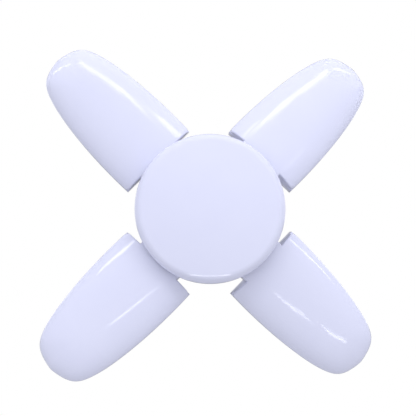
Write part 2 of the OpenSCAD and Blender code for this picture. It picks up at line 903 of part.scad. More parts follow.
module bridge_rectifier() {
    color(BLACK)
        on_driver(-1, driver_half - 10.2, driver_top - 12)
            flat_chip([2.4, 6.4, 4.8], 2, 2.5, [0.5, 1.2, 0.8]);
}

module driver_chip() {
    color(BLACK)
        on_driver(-1, -4, driver_foot + 20)
            flat_chip([1.6, 4, 5], 4, 1.15, [0.4, 1, 0.5]);
}

module fusible_resistor() {
    r = 1.7;
    h = 8;
    wire_r = 0.4;
    wire = 1.5;
    color("teal")
        on_driver(1, driver_half - 4.4, driver_top - 14)
            translate([r, 0, 0]) {
                cylinder(r = r, h = h);
                translate([0, 0, -wire])
                    cylinder(r = wire_r, h = h + 2 * wire);
            }
}

module varistor() {
    t = 3;
    color("royalblue")
        on_driver(-1, 11.4 - driver_half, driver_top - 12)
            translate([-t, 0, 0])
                rotate([0, 90, 0])
                    cylinder(r = 4, h = t);
}

module live_lead() {
    color("saddlebrown")
        lead([
            [0, 0, cap_shell_h - insulator_hold - insulator_flange - hair_gap], [0, 0, 2],
            [3, 2, -12], [lead_x, 12, driver_top], [lead_x, 14, driver_top - lead_pad]
        ]);
}

module neutral_lead() {
    // It starts at the shell's inner face, just above the stub
    wall = thread_in - seat_gap;
    inside = stub_in - lead_r - 0.5;
    color("royalblue")
        lead([
            [wall, 0, cap_stub + 2], [inside, 0, cap_stub + 2], [inside - 1, 0, 4],
            [7, -6, -14], [lead_x, -13, driver_top], [lead_x, -13, driver_top - lead_pad]
        ]);
}

module centre_leads() {
    // From the driver board through the pan to the centre LED board
    front = hinge_z - board_depth - led_board_t - lead_r - hair_gap;
    spread = 1.2;
    color("white")
        for (y = [-spread, spread])
            lead([
                [lead_x, y, driver_foot + lead_pad], [lead_x, y, driver_foot - 3],
                [lead_x, y, front], [lead_hole_r + 2, y, front]
            ]);
}

// ---- Leaves, drawn in the leaf's frame ----

// A child drawn from the leaf's inner end, moved out to its place on the arm
module on_leaf() {
    translate([arm_len, 0, 0])
        children();
}

module leaf_dome_shell() {
    polyhedron(
        points = concat(skin_points(outline, leaf_dome), skin_points(inset(cover_wall), leaf_dome - cover_wall)),
        faces = concat(
            skin_faces(0, true), end_faces(0, true),
            skin_faces(skin_n, false), end_faces(skin_n, false),
            [for (i = [0:points_n - 1])
                let (j = (i + 1) % points_n)
                each [[i, j, skin_n + i], [j, skin_n + j, skin_n + i]]]
        )
    );
}

// Points across the arm, on an arch that follows the dome's section and peaks at height top
ARCH_STEPS = 20;
function arch(top) = [
    for (k = [0:ARCH_STEPS])
        let (y = arm_w * (k / ARCH_STEPS - 0.5))
        [y, -dome(abs(y) / half_w(0), leaf_dome) + leaf_dome - top]
];
function reversed(list) = [for (i = [len(list) - 1:-1:0]) list[i]];

// The dome, with its tongue over the front of the arm
module leaf_cover() {
    color(MILKY)
        union() {
            on_leaf()
                leaf_dome_shell();
            translate([arm_nose, 0, 0])
                rotate([90, 0, 90])
                    linear_extrude(height = arm_len - arm_nose + end_round / 2)
                        polygon(concat(arch(leaf_dome), reversed(arch(arm_front))));
        }
}

// Side view of the arm: round at the hinge, and flat in front, where the tongue lies on it
module arm_side() {
    back = arm_len + arm_root - 1;
    circle(r = knuckle_r);
    polygon(concat(
        [[0, knuckle_r], [back, knuckle_r], [back, 0], [arm_len, 0], [arm_len, -arm_front]],
        [for (a = [0:10:90]) [arm_nose - (arm_nose + knuckle_r) * sin(a), -arm_front * cos(a)]]
    ));
}

module leaf_arm() {
    half = arm_w / 2;
    difference() {
        intersection() {
            translate([0, half, 0])
                rotate([90, 0, 0])
                    linear_extrude(height = arm_w)
                        arm_side();
            // Cross section of the arm: its front follows the dome's arch
            translate([-knuckle_r - past, 0, 0])
                rotate([90, 0, 90])
                    linear_extrude(height = arm_len + knuckle_r + arm_root + 2 * past)
                        polygon(concat(
                            [[half, knuckle_r + past], [-half, knuckle_r + past]],
                            arch(arm_front)
                        ));
        }
        // Gap between the knuckles, and the hollow behind it for the leads
        translate([-knuckle_r - past, -cable_gap / 2, -leaf_dome - past])
            cube([2 * knuckle_r + past, cable_gap, leaf_dome + knuckle_r + 2 * past]);
        translate([knuckle_r - 0.5, -cable_gap, arm_hollow - arm_front])
            cube([arm_len - knuckle_r - 1, 2 * cable_gap, arm_front - arm_hollow + pocket]);
    }
}

module leaf_ribs() {
    span = leaf_w - 2 * rib_inset - rib_t;
    intersection() {
        linear_extrude(height = leaf_back_t)
            polygon(inset(rib_inset));
        for (k = [0:rib_count - 1])
            translate([0, -span / 2 + span * k / (rib_count - 1) - rib_t / 2, leaf_rim_t - rib_root])
                cube([leaf_len, rib_t, leaf_back_t]);
    }
}

module leaf_housing() {
    color(WHITE)
        difference() {
            union() {
                on_leaf() {
                    linear_extrude(height = leaf_rim_t)
                        polygon(outline);
                    leaf_ribs();
                    for (p = leaf_screws)
                        translate([p.x, p.y, leaf_rim_t - rib_root])
                            cylinder(r = boss_r, h = leaf_back_t - leaf_rim_t + rib_root);
                }
                leaf_arm();
            }
            on_leaf() {
                translate([0, 0, -past])
                    linear_extrude(height = pocket + past)
                        polygon(inset(housing_wall));
                for (p = leaf_screws)
                    translate([p.x, p.y, 0])
                        cylinder(r = screw_d / 2 + screw_clear, h = leaf_back_t - boss_floor);
            }
            // Window from the arm's hollow into the pocket
            translate([arm_len - 2, -lead_window, 0])
                cube([housing_wall + 3, 2 * lead_window, pocket]);
            bar_y(bore_r, -arm_w, arm_w);
        }
}

module leaf_led_board() {
    color(BOARD_WHITE)
        on_leaf()
            translate([0, 0, pocket - led_board_t])
                difference() {
                    linear_extrude(height = led_board_t)
                        polygon(inset(housing_wall + board_gap));
                    for (p = leaf_screws)
                        translate([p.x, p.y, -past])
                            cylinder(r = screw_d / 2 + slide, h = led_board_t + 2 * past);
                    translate([0, -lead_window, -past])
                        cube([lead_notch, 2 * lead_window, led_board_t + 2 * past]);
                }
}

// Rows of LED packages, kept clear of the board's edge and of its screws
function led_spots() = [
    for (x = [led_pitch + 3:led_pitch:leaf_len - led_margin]) for (k = [-2:2])
        let (y = k * led_pitch)
        if (abs(y) + led_margin < half_w(x + led_l / 2)
            && min([for (p = leaf_screws) norm([x, y] - p)]) > head_r + led_l / 2 + board_gap)
            [x, y]
];

module leaf_leds() {
    color(LED_YELLOW)
        on_leaf()
            for (p = led_spots())
                translate([p.x - led_l / 2, p.y - led_w / 2, pocket - led_board_t - led_t])
                    cube([led_l, led_w, led_t]);
}

module leaf_screws_set() {
    color(STEEL)
        on_leaf()
            for (p = leaf_screws)
                translate([p.x, p.y, pocket - led_board_t])
                    board_screw(leaf_back_t - boss_floor - screw_tip_gap - pocket + led_board_t);
}

// Leads of leaf i: from the driver board, over the front of the hinge pin, into the leaf
function tilt(p, a) = [p.x * cos(a) - p.z * sin(a), p.y, p.x * sin(a) + p.z * cos(a)];

module leaf_leads(i) {
    spread = lead_r + 0.2;
    pad_spread = lead_r + 0.7;
    board_z = pocket - led_board_t - lead_r - hair_gap;
    turn = 90 * (i - 1);
    fold = folds[i - 1];
    face = i <= 2 ? 1 : -1;
    pad_y = i == 2 || i == 3 ? 8 : -8;
    drop = 8;
    // A point of the hub, moved into the hinge's own frame
    function seen(p) = [
        cos(turn) * p.x + sin(turn) * p.y - hinge_r,
        cos(turn) * p.y - sin(turn) * p.x,
        p.z - hinge_z
    ];
    for (side = [-1, 1]) {
        y = side * spread;
        pad = [face * lead_x, pad_y - sign(pad_y) * side * pad_spread, driver_foot + lead_pad];
        hub_side = [
            seen(pad), seen(pad - [0, 0, drop]), [-17, y, 2], [-10, y, -lead_over],
            [lead_over * tan(fold / 2), y, -lead_over]
        ];
        leaf_side = [
            for (p = [
                [5.5, y, -2], [arm_len - 1, y, pocket / 2], [arm_len + 3, y, pocket / 2],
                [arm_len + lead_notch - 1.5, y, board_z], [arm_len + lead_notch + 2, y, board_z]
            ])
                tilt(p, fold)
        ];
        color("white")
            rotate([0, 0, turn])
                translate([hinge_r, 0, hinge_z])
                    lead(concat(hub_side, leaf_side));
    }
}

// ---- Assembly ----

screw_shell();
cap_insulator();
centre_contact();
neck();
neck_screws();
hub();
hinge_pins();
hinge_nuts();
friction_washers();
centre_pan();
pan_screws();
centre_led_board();
centre_leds();
centre_board_screws();
centre_cover();
driver_board();
bulk_capacitor();
film_capacitor();
inductor();
bridge_rectifier();
driver_chip();
fusible_resistor();
varistor();
live_lead();
neutral_lead();
centre_leads();
for (i = LEAVES) {
    at_leaf(i) leaf_cover();
    at_leaf(i) leaf_housing();
    at_leaf(i) leaf_led_board();
    at_leaf(i) leaf_leds();
    at_leaf(i) leaf_screws_set();
    leaf_leads(i);
}
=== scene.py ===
"""Looks of the screw-in light: milky covers, rolled cap, finishes, studio and camera.

The light hangs with its cap up (+Z) and shines down. The photograph looks up at its front.
Lengths are written in millimetres and turned into metres by MM.
"""
import json
import math

import bmesh
import bpy
from mathutils import Matrix, Vector


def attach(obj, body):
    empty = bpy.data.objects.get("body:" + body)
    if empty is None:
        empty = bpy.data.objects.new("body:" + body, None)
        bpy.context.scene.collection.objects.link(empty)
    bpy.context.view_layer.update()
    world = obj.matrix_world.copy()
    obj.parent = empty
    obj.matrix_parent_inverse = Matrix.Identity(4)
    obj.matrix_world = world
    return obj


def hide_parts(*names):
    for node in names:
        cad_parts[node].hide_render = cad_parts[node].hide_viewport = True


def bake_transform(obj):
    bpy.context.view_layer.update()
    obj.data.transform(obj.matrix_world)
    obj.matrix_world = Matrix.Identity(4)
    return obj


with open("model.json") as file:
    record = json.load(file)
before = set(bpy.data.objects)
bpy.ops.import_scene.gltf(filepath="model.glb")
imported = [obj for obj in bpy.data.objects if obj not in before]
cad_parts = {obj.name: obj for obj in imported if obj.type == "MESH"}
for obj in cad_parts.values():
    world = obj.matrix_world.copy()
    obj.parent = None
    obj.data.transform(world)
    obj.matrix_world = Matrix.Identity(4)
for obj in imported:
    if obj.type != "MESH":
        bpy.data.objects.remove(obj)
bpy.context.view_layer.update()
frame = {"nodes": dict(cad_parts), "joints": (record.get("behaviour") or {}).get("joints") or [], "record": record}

MM = 0.001

# ---- Sizes, the same as in the part's source ----

LEAVES = (1, 2, 3, 4)
JOINTS = {joint["child"]: joint for joint in frame["joints"]}
HINGE_R = JOINTS["leaf_1"]["pos_m"][0] / MM
HINGE_Z = JOINTS["leaf_1"]["pos_m"][2] / MM
FOLD_BACK = 90.0          # fold of a leaf at its upper limit, in degrees

CENTRE_R = 41.0
CENTRE_BACK = 12.3
CENTRE_SKIRT = 3.7
CENTRE_EDGE = 5.0
CENTRE_SLOPE = math.radians(7.3)
COVER_WALL = 1.6

LEAF_LEN = 80.3
LEAF_W = 49.6
LEAF_TAPER = 0.04
LEAF_DOME = 10.0
LEAF_SKIRT = 2.2
OUTLINE_P, OUTLINE_Q = 1.83, 3.9
TIP_BLUNT, TIP_NEAR = 2.0, 32
DOME_A, DOME_B = 2.3, 1.9
ARM_LEN = CENTRE_R - HINGE_R
ARM_HALF = 14.0
ARM_NOSE = 7.0
TONGUE_T = 1.0
TIP_TURN = LEAF_LEN - LEAF_W / 2

EDGE_R = 0.8              # rounding of a cover's moulded edges
CORNER_R = 2.6            # rounding of the dome's corners, in plan
CORNER_FOOT = 0.8         # height below which the corner is sharp, like the housing's rim
CORNER_TOP = 1.5          # height above which it has its full rounding

# The photograph's axes in the row frame: right, up, and towards the camera
ROLL = math.radians(45)
RIGHT = Vector((math.cos(ROLL), math.sin(ROLL), 0))
UP = Vector((math.cos(ROLL), -math.sin(ROLL), 0))
NEAR = Vector((0, 0, -1))
FRONT = Vector((0, 0, HINGE_Z * MM))


# ---- Leaf cover ----

def swell(u):
    blunt = OUTLINE_Q - (OUTLINE_Q - TIP_BLUNT) * u ** TIP_NEAR
    return (1 - LEAF_TAPER * (1 - u) ** 3) * max(0.0, 1 - u ** OUTLINE_P) ** (1 / blunt)


SWELL_PEAK = max(swell(i / 400) for i in range(401))


def half_width(x):
    """Half the width of a leaf at the distance x from its inner end."""
    return LEAF_W / 2 * swell(min(max(x / LEAF_LEN, 0.0), 1.0)) / SWELL_PEAK


def dome(share, top):
    """Height of the dome at a share of the half width."""
    rise = max(0.0, 1 - min(share, 1.0) ** DOME_A) ** (1 / DOME_B)
    return LEAF_SKIRT + (top - LEAF_SKIRT) * rise


def rounding(e, r):
    """How far a surface lies below its level at the distance e from an edge rounded by r."""
    e = max(e, 0.0)
    return r - math.sqrt(r * r - (r - e) ** 2) if e < r else 0.0


def smooth_step(t):
    t = min(max(t, 0.0), 1.0)
    return t * t * (3 - 2 * t)


def end_drop(x, y, radius):
    """Rounding of the dome at its inner end, round the arm's sides and along the tongue."""
    side = abs(y)
    if x < 0:
        return rounding(ARM_HALF - side, EDGE_R)
    if side < ARM_HALF:
        return rounding(math.hypot(x, ARM_HALF - side), EDGE_R)
    if x >= radius:
        return 0.0
    a = half_width(x) - side
    e = radius - math.hypot(radius - x, radius - a) if a < radius else x
    return rounding(e, EDGE_R) * (1 - smooth_step(x / radius))


EDGE_STEPS = (0.0, 0.06, 0.18, 0.36, 0.58, 0.82, 1.1)
SIDE_X = list(EDGE_STEPS) + [1.5, 2.0, 2.6, 3.1, 3.5, 4.2, 5.2, 6.6, 8.4]
SIDE_STEP = 2.6
TIP_STEPS = 40
TIP_REACH = 0.02          # half the distance over which the tip's direction is taken
RINGS = 30
RING_GAP = 0.012          # rings closer than this to an edge's own ring are left out


def side_columns(start):
    """Distances from the inner end, close together near it, for the straight part of the spine."""
    fine = [start + x * (1 - start / SIDE_X[-1]) for x in SIDE_X]
    rest = max(1, round((TIP_TURN - fine[-1]) / SIDE_STEP))
    return fine + [fine[-1] + (TIP_TURN - fine[-1]) * (i + 1) / rest for i in range(rest)]


def outline_points(inset, radius):
    """Half of the outline as (foot on the spine, point), from the inner end round to the tip."""
    points = []
    for x in side_columns(inset):
        slope = (half_width(x + 0.1) - half_width(x - 0.1)) / 0.2 if x > 0.1 else 0.0
        y = half_width(x) - inset * math.hypot(1, slope)
        points.append(((x, 0.0), (x, y - rounding(x - inset, radius))))
    for i in range(1, TIP_STEPS + 1):
        u = TIP_TURN + (LEAF_LEN - TIP_TURN) * math.sin(math.pi / 2 * i / TIP_STEPS)
        y = half_width(u) if i < TIP_STEPS else 0.0
        near, far = max(u - TIP_REACH, TIP_TURN), min(u + TIP_REACH, LEAF_LEN)
        ahead = Vector((far - near, half_width(far) - half_width(near)))
        if i == TIP_STEPS:
            ahead = Vector((0.0, -1.0))
        normal = Vector((ahead.y, -ahead.x)).normalized()
        points.append(((TIP_TURN, 0.0), (u + inset * normal.x, y + inset * normal.y)))
    return points


def ring_shares(width):
    """Shares of the half width at which the rings of points run, from the edge to the spine."""
    shares = [math.sin(math.pi / 2 * (1 - i / RINGS)) for i in range(RINGS)]
    special = [(ARM_HALF - e) / width for e in EDGE_STEPS]
    shares = [s for s in shares if min(abs(s - t) for t in special) > RING_GAP]
    return sorted(shares + special, reverse=True)


WELD = 1e-7               # metres under which two points become one
EDGE_LEAST = 1e-8         # metres under which an edge is taken away


class Shell:
    """Points and faces of one closed mesh."""

    def __init__(self):
        self.points = []
        self.faces = []

    def point(self, x, y, z):
        self.points.append((x * MM, y * MM, z * MM))
        return len(self.points) - 1

    def strip(self, one, two, flip=False):
        """Faces between two rows of points; a point that both rows share leaves a triangle."""
        for a, b, c, d in zip(one, one[1:], two[1:], two):
            face = []
            for p in (a, b, c, d):
                if p not in face:
                    face.append(p)
            if len(face) > 2:
                self.faces.append(face[::-1] if flip else face)

    def polygon(self, corners, flip=False):
        self.faces.append(list(corners)[::-1] if flip else list(corners))

    def build(self, name):
        mesh = bpy.data.meshes.new(name)
        mesh.from_pydata(self.points, [], self.faces)
        bm = bmesh.new()
        bm.from_mesh(mesh)
        bmesh.ops.remove_doubles(bm, verts=bm.verts, dist=WELD)
        bmesh.ops.dissolve_degenerate(bm, edges=bm.edges, dist=EDGE_LEAST)
        bmesh.ops.recalc_face_normals(bm, faces=bm.faces)
        bm.to_mesh(mesh)
        bm.free()
        return finish_piece(name, mesh)


def finish_piece(name, mesh, sharp=35):
    """Links a mesh as a smooth-shaded object whose edges over the angle sharp stay sharp."""
    mesh.validate()
    mesh.shade_smooth()
    mesh.set_sharp_from_angle(angle=math.radians(sharp))
    piece = bpy.data.objects.new(name, mesh)
    bpy.context.scene.collection.objects.link(piece)
    flat = piece.modifiers.new("flat faces", "WEIGHTED_NORMAL")
    flat.keep_sharp = True
    flat.weight = 80
    return piece


def cover_skin(shell, inset, radius, edge_drop):
    """One skin of the cover: its rim, the foot of its side, its rows from the edge to the spine,
    the shares of the half width at which the rows run, and that half width at the inner end."""
    half = outline_points(inset, radius)
    sharp = outline_points(inset, 0.0) if radius else half
    top = LEAF_DOME - inset
    width = half[0][1][1]
    shares = ring_shares(width)

    def level_row(points, height):
        """A row of points round the whole outline, all at one height."""
        row = [shell.point(x, y, -height) for x, y in points]
        return row + [shell.point(x, -y, -height) for x, y in reversed(points[:-1])]

    def drop(x, y):
        return end_drop(x, y, radius) if edge_drop else 0.0

    rows = []
    for share in shares:
        line = []
        for (fx, _), (px, py) in half:
            x, y = fx + (px - fx) * share, py * share
            if fx < TIP_TURN:
                height = dome(abs(y) / max(half_width(x) - inset, 1e-6), top) - drop(x, y)
            else:
                height = dome(share, top)
            line.append((x, y, height))
        row = [shell.point(x, y, -z) for x, y, z in line]
        row += [shell.point(x, -y, -z) for x, y, z in reversed(line[:-1])]
        rows.append(row)
    spine = [
        shell.point(fx, 0.0, drop(fx, 0.0) - top)
        for (fx, _), _ in half[:len(side_columns(inset))]
    ]
    rows.append(spine + [spine[-1]] * (2 * (len(half) - len(spine)) - 1) + spine[::-1])

    rim = level_row([p for _, p in sharp], 0.0)
    foot = []
    if radius:
        foot.append(level_row([p for _, p in sharp], CORNER_FOOT))
        foot.append(level_row([p for _, p in half], CORNER_TOP))
    return rim, foot, rows, shares, width


def leaf_cover_shell():
    """The whole cover in the frame of its leaf's inner end, with the tongue over the arm."""
    shell = Shell()
    rim, foot, rows, shares, width = cover_skin(shell, 0.0, CORNER_R, True)
    inner_rim, _, inner_rows, _, _ = cover_skin(shell, COVER_WALL, 0.0, False)
    layers = [rim] + foot + rows
    for one, two in zip(layers, layers[1:]):
        shell.strip(one, two)
    inner_layers = [inner_rim] + inner_rows
    for one, two in zip(inner_layers, inner_layers[1:]):
        shell.strip(one, two, flip=True)
    shell.strip(rim + rim[:1], inner_rim + inner_rim[:1], flip=True)
    # Flat inner wall of the inner skin
    first = [layer[0] for layer in inner_layers]
    last = [layer[-1] for layer in inner_layers]
    shell.polygon(first + last[-2::-1])
    # Tongue: the rows within the arm's width, carried on over the arm
    on_arm = [k for k, share in enumerate(shares) if share * width <= ARM_HALF + 1e-6]
    one_side = [rows[k][0] for k in on_arm]
    edge = one_side + [rows[-1][0]] + [rows[k][-1] for k in reversed(on_arm)]
    across = [shell.points[p][1] / MM for p in edge]
    top_rows = [edge]
    end_x = ARM_NOSE - ARM_LEN
    for x in (end_x * 0.25, end_x):
        top_rows.append([
            shell.point(x, y, end_drop(-1.0, y, CORNER_R) - dome(abs(y) / half_width(0), LEAF_DOME))
            for y in across
        ])
    under = [
        [shell.point(x, y, TONGUE_T - dome(abs(y) / half_width(0), LEAF_DOME)) for y in across]
        for x in (0.0, end_x)
    ]
    for one, two in zip(top_rows, top_rows[1:]):
        shell.strip(one, two, flip=True)
    shell.strip(under[0], under[1])
    shell.strip(top_rows[-1], under[1], flip=True)
    for side in (0, -1):
        shell.polygon([row[side] for row in top_rows] + [under[1][side], under[0][side]])
    # Flat end wall, round the tongue's root
    first = [layer[0] for layer in layers[:-1] if layer[0] not in one_side[1:]]
    last = [layer[-1] for layer in layers[:-1] if layer[-1] not in edge[1:-1]]
    shell.polygon(first + under[0] + last[::-1])
    return shell


def leaf_matrix(leaf):
    """Places the frame of a leaf's inner end in the row frame, folded as it is at rest."""
    fold = FOLD_BACK - JOINTS[f"leaf_{leaf}"]["range_deg"][1]
    turn = Matrix.Rotation(math.pi / 2 * (leaf - 1), 4, "Z")
    hinge = Matrix.Translation((HINGE_R * MM, 0, HINGE_Z * MM))
    tilt = Matrix.Rotation(math.radians(-fold), 4, "Y")
    return turn @ hinge @ tilt


def make_leaf_covers(materials):
    for leaf in LEAVES:
        piece = leaf_cover_shell().build(f"leaf_{leaf}_diffuser")
        place = leaf_matrix(leaf) @ Matrix.Translation((ARM_LEN * MM, 0, 0))
        piece.data.transform(place)
        dress(piece, "milky_cover", materials)
        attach(piece, f"leaf_{leaf}")
        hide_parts(f"leaf_{leaf}_cover")


def make_leaf_leads(materials):
    """The leads bend over the hinge pins; each pair here is a smooth-shaded copy of its node, baked in place and
    attached to no body."""
    for leaf in LEAVES:
        node = frame["nodes"][f"leaf_{leaf}_leads"]
        piece = finish_piece(f"leaf_{leaf}_wires", node.data.copy(), sharp=50)
        piece.matrix_world = node.matrix_world.copy()
        dress(piece, "lead_white", materials)
        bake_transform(piece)
        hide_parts(f"leaf_{leaf}_leads")


# ---- Lathed pieces ----

def lathe(name, profile, steps):
    """A closed body of revolution about Z; the profile is a loop of (radius, height)."""
    shell = Shell()
    rings = []
    for r, z in profile:
        if r < 1e-6:
            rings.append([shell.point(0, 0, z)] * (steps + 1))
            continue
        ring = [
            shell.point(r * math.cos(2 * math.pi * k / steps), r * math.sin(2 * math.pi * k / steps), z)
            for k in range(steps)
        ]
        rings.append(ring + ring[:1])
    loop = rings if profile[0][0] < 1e-6 else rings + rings[:1]
    for one, two in zip(loop, loop[1:]):
        shell.strip(one, two)
    return shell.build(name)


def centre_skin(inset, steps):
    """Half section of the centre cover, from its back edge to its middle."""
    turn_r = CENTRE_R - CENTRE_EDGE
    skirt = CENTRE_BACK + CENTRE_SKIRT
    edge = [
        (turn_r + (CENTRE_EDGE - inset) * math.cos(a), -skirt - (CENTRE_EDGE - inset) * math.sin(a))
        for a in ((math.pi / 2 - CENTRE_SLOPE) * k / steps for k in range(steps + 1))
    ]
    face_r = turn_r / math.sin(CENTRE_SLOPE) + CENTRE_EDGE - inset
    face_c = skirt - turn_r / math.tan(CENTRE_SLOPE)
    face = [
        (face_r * math.sin(a), -face_c - face_r * math.cos(a))
        for a in (CENTRE_SLOPE * (1 - k / steps) for k in range(1, steps + 1))
    ]
    return [(CENTRE_R - inset, -CENTRE_BACK)] + edge + face


CENTRE_STEPS = 20         # along each arc of the section
CENTRE_ROUND = 224        # round the axis


def make_centre_cover(materials):
    outer = centre_skin(0.0, CENTRE_STEPS)
    inner = centre_skin(COVER_WALL, CENTRE_STEPS)
    profile = [(r, z + HINGE_Z) for r, z in outer[::-1] + inner]
    piece = lathe("centre_diffuser", profile, CENTRE_ROUND)
    dress(piece, "milky_cover", materials)
    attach(piece, "root")
    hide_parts("centre_cover")


# ---- Materials ----

def principled(name, **values):
    material = bpy.data.materials.new(name)
    material.use_nodes = True
    shader = material.node_tree.nodes["Principled BSDF"]
    for key, value in values.items():
        shader.inputs[key.replace("_", " ")].default_value = value
    return material, material.node_tree, shader


def noise(tree, scale, detail=2.0, stretch=(1, 1, 1)):
    """Noise in the object's own coordinates; scale is in features per metre."""
    place = tree.nodes.new("ShaderNodeTexCoord")
    mapping = tree.nodes.new("ShaderNodeMapping")
    mapping.inputs["Scale"].default_value = stretch
    texture = tree.nodes.new("ShaderNodeTexNoise")
    texture.inputs["Scale"].default_value = scale
    texture.inputs["Detail"].default_value = detail
    tree.links.new(place.outputs["Object"], mapping.inputs["Vector"])
    tree.links.new(mapping.outputs["Vector"], texture.inputs["Vector"])
    return texture.outputs["Fac"]


def between(tree, value, low, high):
    """Carries a noise value over to a range."""
    spread = tree.nodes.new("ShaderNodeMapRange")
    spread.inputs["From Min"].default_value = 0.3
    spread.inputs["From Max"].default_value = 0.7
    spread.inputs["To Min"].default_value = low
    spread.inputs["To Max"].default_value = high
    tree.links.new(value, spread.inputs["Value"])
    return spread.outputs["Result"]


def blend_colours(tree, value, one, two):
    mix = tree.nodes.new("ShaderNodeMix")
    mix.data_type = "RGBA"
    mix.inputs[6].default_value = (*one, 1)
    mix.inputs[7].default_value = (*two, 1)
    tree.links.new(between(tree, value, 0, 1), mix.inputs[0])
    return mix.outputs[2]


def add_bump(tree, shader, value, depth):
    bump = tree.nodes.new("ShaderNodeBump")
    bump.inputs["Distance"].default_value = depth
    bump.inputs["Strength"].default_value = 1.0
    tree.links.new(value, bump.inputs["Height"])
    tree.links.new(bump.outputs["Normal"], shader.inputs["Normal"])


def surface(name, one, two, rough, grain, depth, stretch=(1, 1, 1), **values):
    """A finish whose colour, gloss and relief vary with noise of the given grain."""
    material, tree, shader = principled(name, **values)
    cloud = noise(tree, grain * 0.12, 3.0, stretch)
    fine = noise(tree, grain, 2.0, stretch)
    tree.links.new(blend_colours(tree, cloud, one, two), shader.inputs["Base Color"])
    tree.links.new(between(tree, fine, rough[0], rough[1]), shader.inputs["Roughness"])
    add_bump(tree, shader, fine, depth)
    return material


def make_materials():
    """One finish for each material slot of the record."""
    return {
        "milky_cover": surface(
            "milky cover", (0.775, 0.79, 0.985), (0.79, 0.805, 0.993), (0.07, 0.08), 300, 1e-6,
        ),
        "white_plastic": surface(
            "white plastic", (0.76, 0.765, 0.86), (0.79, 0.795, 0.885), (0.30, 0.38), 1500, 6e-6,
        ),
        "cap_metal": surface(
            "nickel plate", (0.74, 0.73, 0.70), (0.80, 0.79, 0.76), (0.16, 0.30), 900, 4e-6,
            stretch=(1, 1, 6), Metallic=1.0,
        ),
        "contact_metal": surface(
            "tinned brass", (0.72, 0.66, 0.50), (0.80, 0.74, 0.58), (0.22, 0.38), 1200, 6e-6,
            Metallic=1.0,
        ),
        "insulator": surface(
            "black insulator", (0.012, 0.012, 0.014), (0.022, 0.022, 0.025), (0.30, 0.45), 2000, 8e-6,
        ),
        "screw_steel": surface(
            "zinc plate", (0.60, 0.61, 0.63), (0.72, 0.73, 0.74), (0.24, 0.40), 2500, 5e-6,
            Metallic=1.0,
        ),
        "pan_aluminium": surface(
            "stamped aluminium", (0.72, 0.73, 0.75), (0.80, 0.81, 0.83), (0.32, 0.46), 1800, 6e-6,
            stretch=(1, 6, 1), Metallic=1.0,
        ),
        "board_white": surface(
            "white solder mask", (0.80, 0.80, 0.77), (0.85, 0.85, 0.83), (0.28, 0.36), 1400, 4e-6,
        ),
        "led_phosphor": surface(
            "phosphor", (0.84, 0.62, 0.08), (0.90, 0.70, 0.14), (0.30, 0.42), 3000, 6e-6,
        ),
        "board_green": surface(
            "green solder mask", (0.008, 0.085, 0.020), (0.014, 0.12, 0.03), (0.22, 0.34), 1600, 8e-6,
        ),
        "capacitor_black": surface(
            "shrink sleeve", (0.010, 0.010, 0.012), (0.02, 0.02, 0.024), (0.22, 0.32), 1000, 8e-6,
        ),
        "capacitor_red": surface(
            "red dip", (0.30, 0.020, 0.012), (0.38, 0.03, 0.018), (0.18, 0.28), 700, 12e-6,
        ),
        "winding_copper": surface(
            "enamelled wire", (0.42, 0.15, 0.05), (0.55, 0.22, 0.08), (0.25, 0.35), 4000, 30e-6,
            stretch=(8, 0.4, 0.4), Metallic=0.8,
        ),
        "chip_black": surface(
            "moulded chip", (0.014, 0.014, 0.016), (0.024, 0.024, 0.027), (0.45, 0.60), 3500, 8e-6,
        ),
        "resistor_teal": surface(
            "resistor lacquer", (0.02, 0.13, 0.13), (0.03, 0.17, 0.17), (0.20, 0.30), 1200, 8e-6,
        ),
        "varistor_blue": surface(
            "blue dip", (0.012, 0.04, 0.26), (0.02, 0.06, 0.33), (0.20, 0.30), 900, 10e-6,
        ),
        "lead_brown": surface(
            "brown sleeve", (0.10, 0.036, 0.014), (0.13, 0.05, 0.02), (0.34, 0.44), 1500, 5e-6,
        ),
        "lead_blue": surface(
            "blue sleeve", (0.015, 0.06, 0.32), (0.02, 0.08, 0.38), (0.34, 0.44), 1500, 5e-6,
        ),
        "lead_white": surface(
            "white sleeve", (0.74, 0.74, 0.75), (0.80, 0.80, 0.81), (0.34, 0.44), 1500, 5e-6,
        ),
    }


def dress(piece, slot, materials):
    piece.data.materials.clear()
    piece.data.materials.append(materials[slot])


def dress_cad_nodes(materials):
    for part in frame["record"]["subparts"]:
        node = frame["nodes"][part["node"]]
        node.data.materials.clear()
        node.data.materials.append(materials[part["material_slot"]])


# ---- Studio ----

# The photograph's camera, fitted to the leaves' edges and the disc
CAMERA_AWAY = 371.15            # millimetres from the hinge plane, along its own axis
CAMERA_TILT = (-7.97, 0.674, 0.51)
CAMERA_SHIFT = (0.966, -2.137)
FOCAL_PIXELS, IMAGE_PIXELS = 654.3, 416
SENSOR_MM = 36.0

DAYLIGHT = (0.955, 0.965, 1.0)  # tint of the studio and its lamps
STUDIO_FILL = 0.70              # what the studio adds from every side
STUDIO_GLOSS = (0.75, 0.22)     # what gloss shows of it, all round and on the far side
FAR_SIDE = (0.35, 0.9)          # where the far side begins and where it is darkest
FLOOR_Z = -1.0                  # metres below the cap's rim
FLOOR_HALF = 6.0

# The softboxes' left and right ends, and for each its height over the light's middle, its
# distance in front of it, and its radiance
SOFTBOX_ENDS = (-550, 750)
SOFTBOX_WIDTH = 160
SOFTBOXES = ((620, 380, 2.1), (540, 620, 4.4))

# A lamp behind the light on each side: both ends on the right, width, radiance
BACK_ENDS = ((800, 200, -560), (400, 200, -840))
BACK_WIDTH, BACK_RADIANCE = 400, 1.2

